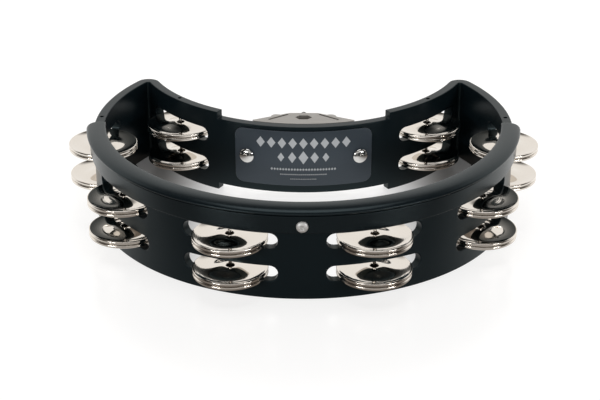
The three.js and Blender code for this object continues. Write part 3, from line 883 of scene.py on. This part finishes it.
FLANGE_INNER_R = BACK_R - GAP - STEEL
HEAD_SEAT = PLATE_OUTER_R - BACK_FACE_R + GAP
WASHER_SEAT = BACK_FACE_R - FLANGE_INNER_R + GAP + 0.2
WASHER_THICKNESS, NUT_THICKNESS, NUT_APOTHEM = 1.0, 4.0, 3.98
NUT_SEAT = WASHER_SEAT + WASHER_THICKNESS + GAP
WASHER_R = 5.4
BOLT_DOME_LOW, BOLT_DOME = 0.3, 2.3
BOLT_PAST_NUT = 1.5
BOLT_TIP = 0.5  # chamfer at the bolt's end


def carriage_bolt(place):
    """A round-headed bolt through the plate and the wall."""
    bm = bmesh.new()
    matrix = place @ Matrix.Translation((0, -HEAD_SEAT, PLATE_Z)) @ FACE_OUT
    tail = -(HEAD_SEAT + NUT_SEAT + NUT_THICKNESS + BOLT_PAST_NUT)
    dome = arc(0, BOLT_DOME_LOW, BOLT_HEAD_R, BOLT_DOME, 0, 90, 12)
    profile = [
        (0, tail), (BOLT_R - BOLT_TIP, tail), (BOLT_R, tail + BOLT_TIP), (BOLT_R, -0.2),
        (BOLT_HEAD_R - 0.3, 0), *dome[:-1], (0, 2.6),
    ]
    turn(bm, profile, 48, matrix, closed=False)
    return bm


def flat_washer(matrix, inner, outer, low, thickness):
    """A ring with chamfered edges, from a height along the matrix's Z."""
    bm = bmesh.new()
    chamfer = 0.15
    high = low + thickness
    turn(bm, [
        (inner, low + chamfer), (inner + chamfer, low), (outer - chamfer, low),
        (outer, low + chamfer), (outer, high - chamfer), (outer - chamfer, high),
        (inner + chamfer, high), (inner, high - chamfer),
    ], 40, matrix)
    return bm


def hex_nut(matrix, inner, apothem, low, thickness):
    """A nut whose corners are turned off towards both faces."""
    bm = bmesh.new()
    high = low + thickness
    outside = hexagon(apothem)
    chamfer = 0.3

    def limited(part):
        return lambda angle: min(outside(angle), apothem * part)

    crown, shoulder, corners = limited(1.02), limited(1.10), limited(1.16)
    turn(bm, [
        (inner, low + chamfer), (inner + chamfer, low), (crown, low), (shoulder, low + 0.32),
        (corners, low + 0.6), (corners, high - 0.6), (shoulder, high - 0.32), (crown, high),
        (inner + chamfer, high), (inner, high - chamfer),
    ], 72, matrix)
    return bm


for side, place in BOLTS.items():
    behind = place @ Matrix.Translation((0, 0, PLATE_Z)) @ FACE_BACK
    finish_piece(
        f"bolt_{side}", carriage_bolt(place), BRIGHT, [f"plate_bolt_{side}"],
    )
    washer = flat_washer(behind, BOLT_R + GAP, WASHER_R, WASHER_SEAT, WASHER_THICKNESS)
    finish_piece(
        f"washer_{side}", washer, BRIGHT, [f"plate_washer_{side}"],
    )
    nut = hex_nut(behind, BOLT_R + GAP, NUT_APOTHEM, NUT_SEAT, NUT_THICKNESS)
    finish_piece(
        f"nut_{side}", nut, BRIGHT, [f"plate_nut_{side}"], sharp=25.0,
    )

# ---- bracket and clamp -----------------------------------------------------------------

# The bracket keeps its CAD shape. Two modifiers round its edges, and it gets its own steel.
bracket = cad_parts["mounting_bracket"]
bracket.data.materials.clear()
bracket.data.materials.append(SHEET)
bevel(0.35, 2, 40.0)(bracket)
weighted_normals(bracket)

EYE_HALF_DEPTH = 3.0
SHANK_OUT = 22.0  # how far the shank stands out behind the bracket
THREAD_START, THREAD_PITCH, THREAD_DEPTH = 3.0, 1.0, 0.35
# Middle of the clamp's axis, with +Z pointing out behind the bracket.
ACROSS = Matrix.Translation((0, 0, CLAMP_Z)) @ FACE_BACK


def eye_bolt():
    """A flat ring, and a shank with thread grooves that reaches out behind the bracket."""
    bm = bmesh.new()
    middle = (EYE_HOLE_R + EYE_R) / 2
    half = (EYE_R - EYE_HOLE_R) / 2
    ring = arc(middle, 0, half, EYE_HALF_DEPTH, 0, 345, 23)
    turn(bm, ring, 40, Matrix.Translation((0, EYE_Y, CLAMP_Z)))
    start, end = EYE_Y + EYE_R - 1.2, BRACKET_BACK_Y + SHANK_OUT
    threads = []
    z = BRACKET_BACK_Y + THREAD_START
    while z < end - 1.2:
        threads += [(SHANK_R, z), (SHANK_R, z + 0.12), (SHANK_R - THREAD_DEPTH, z + 0.5)]
        z += THREAD_PITCH
    turn(bm, [
        (0, start), (SHANK_R, start), (SHANK_R, BRACKET_BACK_Y + 2.6), *threads,
        (SHANK_R - 0.4, end - 0.5), (SHANK_R - 0.8, end), (0, end),
    ], 24, ACROSS, closed=False)
    return bm


finish_piece("clamp_eye", eye_bolt(), BRIGHT, ["eye_bolt"], "eye_bolt")

CLAMP_SEAT = BRACKET_BACK_Y + GAP
CLAMP_WASHER_R, CLAMP_WASHER = 7.0, 1.2
finish_piece(
    "clamp_ring",
    flat_washer(ACROSS, SHANK_R + GAP, CLAMP_WASHER_R, CLAMP_SEAT, CLAMP_WASHER),
    BRIGHT, ["clamp_washer"],
)

NUT_FACE = CLAMP_SEAT + CLAMP_WASHER + GAP
WING_HALF_DEPTH = 1.7


def wing_hub():
    """The wing nut's tapered hub."""
    bm = bmesh.new()
    inner, chamfer = SHANK_R + GAP, 0.4
    low = NUT_FACE
    turn(bm, [
        (inner, low + chamfer), (inner + chamfer, low), (6.6, low), (7.0, low + chamfer),
        (6.2, low + 5.0), (5.3, low + 10.4), (4.9, low + 11.0), (inner + chamfer, low + 11.0),
        (inner, low + 10.6),
    ], 40, ACROSS)
    return bm


def wing(side):
    """One rounded wing, on the side given as 1 or -1."""
    bm = bmesh.new()
    low = NUT_FACE
    outline = [
        (4.2, low + 1), (10, low + 2), (WING_HALF - 2.2, low + 5.6),
        *arc(WING_HALF - 3, low + 9, 3, 3, -50, 0, 4),
        *arc(WING_HALF - 4, low + 13, 4, 4, 0, 110, 8),
        (14, low + 15), (10.5, low + 12), (8.6, low + 9.2), (4.2, low + 8.6),
    ]
    loops = []
    for y in (-WING_HALF_DEPTH, WING_HALF_DEPTH):
        loops.append([bm.verts.new(ACROSS @ Vector((side * x, y, z))) for x, z in outline])
    count = len(outline)
    for k in range(count):
        n = (k + 1) % count
        bm.faces.new((loops[0][k], loops[0][n], loops[1][n], loops[1][k]))
    bm.faces.new(loops[0])
    bm.faces.new(list(reversed(loops[1])))
    bmesh.ops.recalc_face_normals(bm, faces=bm.faces)
    return bm


finish_piece(
    "clamp_wings", wing_hub(), CAST, ["wing_nut"], "wing_nut",
    tools=[join(wing(1)), join(wing(-1)), bevel(0.9, 3, 40.0), weighted_normals],
)

# ---- studio ----------------------------------------------------------------------------

FLOOR_HALF = 4.0
WHITE = (0.97, 0.97, 0.97, 1)
# The floor inside the crescent has painted shade: its glow is darkened there. The painted shade
# ends under the walls, between these two distances from a wall's outer or rear face.
SHADE_END, SHADE_START = 0.0005, 0.0035
# The painted shade is full beyond the first distance from the middle, and the floor stays unshaded
# within the second.
SIDES_SHADED, MIDDLE_LIT, LEAST_LIGHT = 0.11, 0.045, 0.06
# In reflections the floor is a dark card in front of the first Y and bright behind the second.
CARD_FRONT, CARD_BACK = -0.13, -0.01
CARD_DARK, CARD_BRIGHT = (0.065, 0.044, 0.029, 1), (0.80, 0.79, 0.775, 1)
FLOOR_DARK, FLOOR_BRIGHT = (0, 0, 0, 1), (0.78, 0.777, 0.774, 1)
BASE_IN_REFLECTIONS, BASE_SEEN = (0.25, 0.25, 0.25, 1), (0.34, 0.34, 0.34, 1)

# The sky's directions are unit vectors. It glows behind the object and, more weakly, in front,
# and is dark overhead and at the sides.
GLOW_BEHIND_START, GLOW_BEHIND_FULL = 0.0, 0.35
GLOW_AHEAD_START, GLOW_AHEAD_FULL, GLOW_AHEAD = -0.40, -0.70, 0.55
OVERHEAD_DARK, OVERHEAD_END = 0.80, 0.62
ROOM_DARK, ROOM_GLOW = (0.034, 0.030, 0.026, 1), (1.0, 0.985, 0.96, 1)


def ramp(tree, source, start, end, low=0.0, high=1.0):
    """Turns a value between start and end into a smooth change from low to high."""
    band = node_of(tree, "ShaderNodeMapRange", interpolation_type="SMOOTHSTEP")
    for key, value in (("From Min", start), ("From Max", end), ("To Min", low), ("To Max", high)):
        band.inputs[key].default_value = value
    tree.links.new(source, band.inputs["Value"])
    return band.outputs["Result"]


def blend_colour(tree, factor, low, high):
    """Mixes two colours, each a plain colour or another node's output."""
    mix = node_of(tree, "ShaderNodeMix", data_type="RGBA")
    tree.links.new(factor, mix.inputs["Factor"])
    for key, value in (("A", low), ("B", high)):
        if isinstance(value, tuple):
            mix.inputs[key].default_value = value
        else:
            tree.links.new(value, mix.inputs[key])
    return mix.outputs["Result"]


def floor_material():
    """White, with painted shade inside the crescent, and a dark card in front for the mirror
    surfaces.
    """
    material = surface(
        "floor_white", (0.90, 0.895, 0.89), (0.93, 0.925, 0.92), 0.22, spread=0.02, bump=0.0,
        specular=0.35,
    )
    tree = material.node_tree
    shader = tree.nodes["Principled BSDF"]
    place = node_of(tree, "ShaderNodeNewGeometry")
    axes = node_of(tree, "ShaderNodeSeparateXYZ")
    tree.links.new(place.outputs["Position"], axes.inputs["Vector"])
    # Painted shade: the floor's glow is darkened inside the crescent, most towards its sides, and
    # in reflections too.
    walls = (
        (ARC_Y, FRONT_R * MM - SHADE_START, FRONT_R * MM - SHADE_END),
        (ARC_Y + BACK_CENTRE_Y * MM, BACK_R * MM + SHADE_START, BACK_R * MM + SHADE_END),
    )
    outside = []
    for centre_y, start, end in walls:
        distance = node_of(tree, "ShaderNodeVectorMath", operation="DISTANCE")
        distance.inputs[1].default_value = (0, centre_y, 0)
        tree.links.new(place.outputs["Position"], distance.inputs[0])
        outside.append(ramp(tree, distance.outputs["Value"], start, end))
    beyond = node_of(tree, "ShaderNodeMath", operation="MAXIMUM")
    for socket, value in zip(beyond.inputs, outside):
        tree.links.new(value, socket)
    sideways = node_of(tree, "ShaderNodeMath", operation="ABSOLUTE")
    tree.links.new(axes.outputs["X"], sideways.inputs[0])
    middle = ramp(tree, sideways.outputs["Value"], SIDES_SHADED, MIDDLE_LIT, LEAST_LIGHT, 1.0)
    painted_floor_light = node_of(tree, "ShaderNodeMath", operation="MAXIMUM")
    tree.links.new(middle, painted_floor_light.inputs[0])
    tree.links.new(beyond.outputs["Value"], painted_floor_light.inputs[1])
    card = node_of(tree, "ShaderNodeMath", operation="MULTIPLY")
    tree.links.new(ramp(tree, axes.outputs["Y"], CARD_FRONT, CARD_BACK), card.inputs[0])
    tree.links.new(painted_floor_light.outputs["Value"], card.inputs[1])
    mirrored_floor = blend_colour(tree, card.outputs["Value"], CARD_DARK, CARD_BRIGHT)
    floor_with_painted_shade = blend_colour(tree, painted_floor_light.outputs["Value"], FLOOR_DARK, FLOOR_BRIGHT)
    direct = node_of(tree, "ShaderNodeLightPath").outputs["Is Camera Ray"]
    glow = blend_colour(tree, direct, mirrored_floor, floor_with_painted_shade)
    tree.links.new(glow, shader.inputs["Emission Color"])
    plain = blend_colour(tree, direct, BASE_IN_REFLECTIONS, BASE_SEEN)
    tree.links.new(plain, shader.inputs["Base Color"])
    shader.inputs["Emission Strength"].default_value = 1.0
    return material


floor_mesh = bpy.data.meshes.new("floor")
floor_mesh.from_pydata(
    [(x * FLOOR_HALF, y * FLOOR_HALF, 0) for x, y in ((-1, -1), (1, -1), (1, 1), (-1, 1))],
    [], [(0, 1, 2, 3)],
)
floor = bpy.data.objects.new("floor", floor_mesh)
bpy.context.scene.collection.objects.link(floor)
floor_mesh.materials.append(floor_material())

world = bpy.data.worlds.new("studio")
bpy.context.scene.world = world
world.use_nodes = True
sky = world.node_tree
direction = node_of(sky, "ShaderNodeTexCoord")
sky_axes = node_of(sky, "ShaderNodeSeparateXYZ")
sky.links.new(direction.outputs["Generated"], sky_axes.inputs["Vector"])
behind = ramp(sky, sky_axes.outputs["Y"], GLOW_BEHIND_START, GLOW_BEHIND_FULL)
below_dark = ramp(sky, sky_axes.outputs["Z"], OVERHEAD_DARK, OVERHEAD_END)
ahead = ramp(sky, sky_axes.outputs["Y"], GLOW_AHEAD_START, GLOW_AHEAD_FULL, 0.0, GLOW_AHEAD)
both = node_of(sky, "ShaderNodeMath", operation="MAXIMUM")
sky.links.new(behind, both.inputs[0])
sky.links.new(ahead, both.inputs[1])
glow = node_of(sky, "ShaderNodeMath", operation="MULTIPLY")
sky.links.new(both.outputs["Value"], glow.inputs[0])
sky.links.new(below_dark, glow.inputs[1])
room = blend_colour(sky, glow.outputs["Value"], ROOM_DARK, ROOM_GLOW)
sky_rays = node_of(sky, "ShaderNodeLightPath")
shown = blend_colour(sky, sky_rays.outputs["Is Camera Ray"], room, WHITE)
sky.links.new(shown, sky.nodes["Background"].inputs["Color"])


AIM_Z = 0.03


def soft_light(name, spot, width, height, power):
    """A rectangular light at a spot, turned towards the middle of the object."""
    data = bpy.data.lights.new(name, "AREA")
    data.shape = "RECTANGLE"
    data.size = width
    data.size_y = height
    data.energy = power
    light = bpy.data.objects.new(name, data)
    light.location = spot
    aim = Vector((0, 0, AIM_Z)) - Vector(spot)
    light.rotation_euler = aim.to_track_quat("-Z", "Y").to_euler()
    bpy.context.scene.collection.objects.link(light)


soft_light("overhead", (0.0, -0.05, 1.5), 1.2, 0.9, 6)
soft_light("front_left", (-1.1, -1.35, 0.55), 0.70, 0.18, 5.5)
soft_light("front_right", (1.35, -1.15, 0.55), 0.70, 0.18, 5.5)

bpy.context.scene.view_settings.view_transform = "Standard"

bpy.context.view_layer.update()
